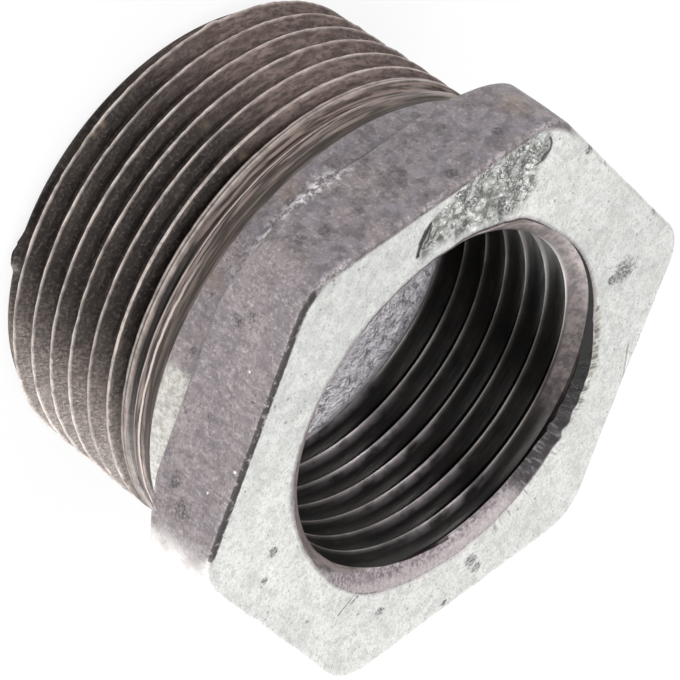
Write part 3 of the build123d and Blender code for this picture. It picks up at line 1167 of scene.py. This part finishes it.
rust_marks = [
    (spigot_place(-107, 9.6), 0.5), (spigot_place(-105, 12.2), 0.45), (spigot_place(-109, 15.0), 0.8),
    (spigot_place(-106, 14.2), 0.5), (spigot_place(-108, 17.4), 0.7), (spigot_place(-93, 2.2), 0.4),
    (spigot_place(-90, 2.1), 0.4), (spigot_place(-103, 17.0), 0.5),
]
print(len(rust_marks), "rust marks")

# %% Flanks
b = Builder("cut_iron_outside")
warm, painted_lit_side, groove = b.mask("warm"), b.mask("painted_lit_side"), b.mask("groove")
broad = b.noise(5, 4, 0.65)
chatter = b.noise(0.28, 4, 0.65, b.place((1, 1, 0.3)))
turned = b.noise(0.22, 3, 0.6, b.place((0.12, 0.12, 1)))
scratched = b.noise(0.16, 3, 0.6, b.place((0.25, 0.25, 1)))
stripes = b.noise(0.2, 2, 0.5, b.place((0.05, 0.05, 1)))
warm_colour = b.coats(
    b.mix(turned.rise(0.38, 0.62), tint(98, 84, 79), tint(140, 121, 115)),
    (scratched.rise(0.48, 0.66) * 0.6, tint(62, 51, 47)),
)
flank = b.coats(
    b.mix(broad.rise(0.3, 0.7), tint(28, 23, 21), tint(50, 42, 38)),
    (chatter.rise(0.48, 0.75) * 0.5, tint(112, 100, 92)),
    (turned.rise(0.5, 0.75) * 0.35, tint(102, 88, 82)),
    (warm * 0.75, warm_colour),
    # painted light on the side near -15 degrees
    (painted_lit_side * 0.34, b.mix(chatter.rise(0.35, 0.62), tint(84, 74, 68), tint(146, 134, 124))),
    (placed_marks(b, rust_marks, chatter - 0.5, 0.1) * 0.45, tint(142, 122, 98)),
    # painted shade in the last groove
    (groove * 0.85, tint(20, 17, 16)),
    (b.mask("striped") * (1 - groove) * 0.8, b.mix(stripes.rise(0.42, 0.6), tint(56, 47, 43), tint(146, 130, 123))),
)
print("flanks end at", len(b.tree.nodes), "nodes")

# %% Turned relief and its lines
edge_height, second_height, root_height = 16.9, 17.72, 18.55
up = b.add("ShaderNodeSeparateXYZ", {}, {0: b.place()}, "Z")
wave = (b.noise(2.2, 4, 0.7) - 0.5) * 0.3


def round_line(height, inner, outer):
    """A wavering line round the spigot at one height."""
    return 1 - (up - height + wave).size().rise(inner, outer)


edge_line = round_line(edge_height, 0.07, 0.19) * (0.55 + 0.45 * turned.rise(0.35, 0.5))
second_line = round_line(second_height, 0.06, 0.15) * b.mask("second_line") * 0.9
colour = b.coats(
    b.mix(b.mask("relief"), flank, b.mix(stripes.rise(0.4, 0.64), tint(62, 54, 49), tint(112, 100, 93))),
    (round_line(root_height, 0.15, 0.35) * 0.6, tint(48, 41, 37)),
    (edge_line.most(second_line), tint(206, 193, 187)),
)
print("lines at", edge_height, second_height, root_height, "mm")

# %% Painted crest highlights and gloss of the outside
crest = b.mask("crest")
# how strong the painted crest highlight is, varied by noise
highlight_strength = 0.45 + 0.5 * b.noise(1.3, 4, 0.7).rise(0.35, 0.6)
crest_line = crest * highlight_strength * (1 - 0.3 * warm - 0.35 * painted_lit_side)
iron = b.metal(
    b.mix(crest_line, colour, tint(214, 201, 194)),
    metallic=0.45 - 0.35 * crest,
    roughness=0.36 + 0.2 * broad,
    normal=b.bump(0.5, 0.1, chatter + 0.6 * turned),
)

# %% [markdown]
# ## Cut iron inside
# The bore is the same cut iron as the outside, painted darker for the shade inside the hole, and smoother, with
# thin bright crests, which are painted highlights. It could share the outside's material with a mask, but then
# each would carry the other's noises. Painted shade blackens the step between the mouth and the first groove.
# The countersink is duller and paler than the rest, with painted shade on one side, and that groove is painted
# paler where light falls in.

# %% Cut iron inside
b = Builder("cut_iron_bore")
crest, ring, first_groove = b.mask("crest"), b.mask("countersink"), b.mask("first_groove")
# painted shade, nearly black, in the step by the mouth and at the top of the bore; it also dulls the gloss there
painted_shade = b.mask("margin").most(b.mask("dark_rim"))
broad = b.noise(5, 4, 0.65)
turned = b.noise(0.22, 3, 0.6, b.place((0.12, 0.12, 1)))
# painted highlight streak along the crests
painted_sheen = b.mask("painted_sheen") * b.noise(1.2, 3, 0.6, b.place((0.5, 0.5, 1))).rise(0.3, 0.6)
groove_colour = b.mix(b.noise(0.9, 4, 0.7).rise(0.4, 0.6), tint(124, 113, 111), tint(82, 75, 75))
# The bore's ground is darker than the outside's iron: painted shade inside the hole.
colour = b.coats(
    b.mix(broad.rise(0.3, 0.7), tint(14, 12, 11), tint(30, 27, 25)),
    (turned.rise(0.5, 0.8) * 0.35, tint(62, 57, 55)),
    (painted_sheen * 0.7, tint(158, 150, 154)),
    # paler countersink, with painted shade on one side
    (ring * 0.9, b.mix(turned.rise(0.4, 0.65), tint(150, 139, 136), tint(108, 98, 96))),
    # painted light in the first groove
    (first_groove * 0.9, groove_colour),
    (painted_shade * 0.97, tint(12, 11, 10)),
    # the bright crest lines are painted highlights, brightest on the lit sides
    (crest * (0.25 + 0.3 * broad.rise(0.4, 0.6) + 0.35 * b.mask("crest_highlight_side")), tint(150, 141, 136)),
)
bore = b.metal(
    colour,
    metallic=(0.6 - 0.4 * crest.most(ring).most(first_groove)) * (1 - painted_shade),
    roughness=0.3 + 0.12 * broad + 0.15 * ring.most(first_groove) + 0.5 * painted_shade,
    normal=b.bump(0.3, 0.06, turned),
)
for material in (zinc, iron, bore):
    casting_mesh.materials.append(material)
print("materials", [material.name for material in casting_mesh.materials])

# %% [markdown]
# ## Camera
# It looks down at the hex face from in front, and is rolled so that the bushing seems to lie on its side. An
# aimed constraint can't hold a roll, so the camera's own right, up and forward directions make its matrix. A
# long lens from far away keeps the hexagon's sides nearly parallel.

# %% Camera
camera_place = Vector((15.718, -423.393, 283.840)) * MM
camera_forward = Vector((-0.02983, 0.84769, -0.52966)).normalized()
camera_roll = radians(-126.384)
level_right = camera_forward.cross(Vector((0, 0, 1))).normalized()
level_up = level_right.cross(camera_forward)
camera_up = level_up * cos(camera_roll) + level_right * sin(camera_roll)
camera_right = camera_forward.cross(camera_up)
camera_turn = Matrix((camera_right, camera_up, -camera_forward)).transposed().to_4x4()
camera_data = bpy.data.cameras.new("camera")
camera_data.sensor_width = 36
camera_data.lens = 329.725
camera_data.clip_start, camera_data.clip_end = 0.01, 20
camera = bpy.data.objects.new("camera", camera_data)
camera.matrix_world = Matrix.Translation(camera_place) @ camera_turn
bpy.context.scene.collection.objects.link(camera)
bpy.context.scene.camera = camera
print("camera", round(camera_place.length, 3), "m from the spigot end, lens", camera_data.lens)

# %% [markdown]
# ## Floor
# A plain white floor that keeps the bushing's shadow. A lamp strong enough to whiten it would burn out the
# zinc, so the whiteness comes mostly from a glow that only the camera sees, over a plain white ground.

# %% Floor
floor_reach, floor_height = 1.6, -0.00005  # a hair under the spigot end, so that the two never flicker
floor_glow = 0.85  # share of the floor's colour that is glow and not ground
corners = [(floor_reach * a, floor_reach * c, floor_height) for a, c in ((-1, -1), (1, -1), (1, 1), (-1, 1))]
floor_mesh = bpy.data.meshes.new("floor")
floor_mesh.from_pydata(corners, [], [(0, 1, 2, 3)])
floor = bpy.data.objects.new("floor", floor_mesh)
bpy.context.scene.collection.objects.link(floor)
b = Builder("white_floor")
seen = b.add("ShaderNodeLightPath", {}, {}, "Is Camera Ray")
ground = b.add("ShaderNodeBsdfDiffuse", {}, {"Color": (0.9, 0.9, 0.9, 1)})
glow = b.add("ShaderNodeEmission", {}, {"Color": (1, 1, 1, 1), "Strength": 1.0})
floor_mesh.materials.append(b.surface(b.add("ShaderNodeMixShader", {}, {0: seen * floor_glow, 1: ground, 2: glow})))

# %% [markdown]
# ## Lamps and sky
# Five soft square lamps and a weak even sky. One big lamp overhead would be simpler, but it would leave the
# hole dark and the flats dull. So two low ones on the +X side light the flats there and skim the face, one on
# the -X side keeps the threads from going black, and two higher ones in front look down into the bore and the
# recess. All stand 0.9 m away, so that their light falls evenly on a small part.

# %% Lamps
lamp_distance = 0.9
lamps = [  # name, azimuth, elevation, size in metres, power in watts
    ("side_softbox", 40, 14, 0.6, 10.2), ("corner_softbox", 10, 12, 0.6, 6.8), ("far_softbox", 175, 30, 0.6, 2.2),
    ("bore_lamp", -145, 40, 0.25, 3.0), ("recess_lamp", -75, 50, 0.5, 4.6),
]
for name, turn_degrees, rise_degrees, size, power in lamps:
    swing, rise = radians(turn_degrees), radians(rise_degrees)
    towards = Vector((cos(swing) * cos(rise), sin(swing) * cos(rise), sin(rise)))
    data = bpy.data.lights.new(name, "AREA")
    data.shape, data.size, data.size_y, data.energy = "RECTANGLE", size, size, power
    lamp = bpy.data.objects.new(name, data)
    aim = towards.to_track_quat("Z", "Y").to_matrix().to_4x4()
    lamp.matrix_world = Matrix.Translation(towards * lamp_distance) @ aim
    bpy.context.scene.collection.objects.link(lamp)
print(len(lamps), "lamps,", round(sum(power for *_, power in lamps), 1), "W together")

# %% Sky
world = bpy.data.worlds.new("sky")
bpy.context.scene.world = world
world.use_nodes = True
world.node_tree.nodes["Background"].inputs["Color"].default_value = (1, 1, 1, 1)
world.node_tree.nodes["Background"].inputs["Strength"].default_value = 0.25
bpy.context.scene.view_settings.view_transform = "Standard"
print("sky strength", world.node_tree.nodes["Background"].inputs["Strength"].default_value)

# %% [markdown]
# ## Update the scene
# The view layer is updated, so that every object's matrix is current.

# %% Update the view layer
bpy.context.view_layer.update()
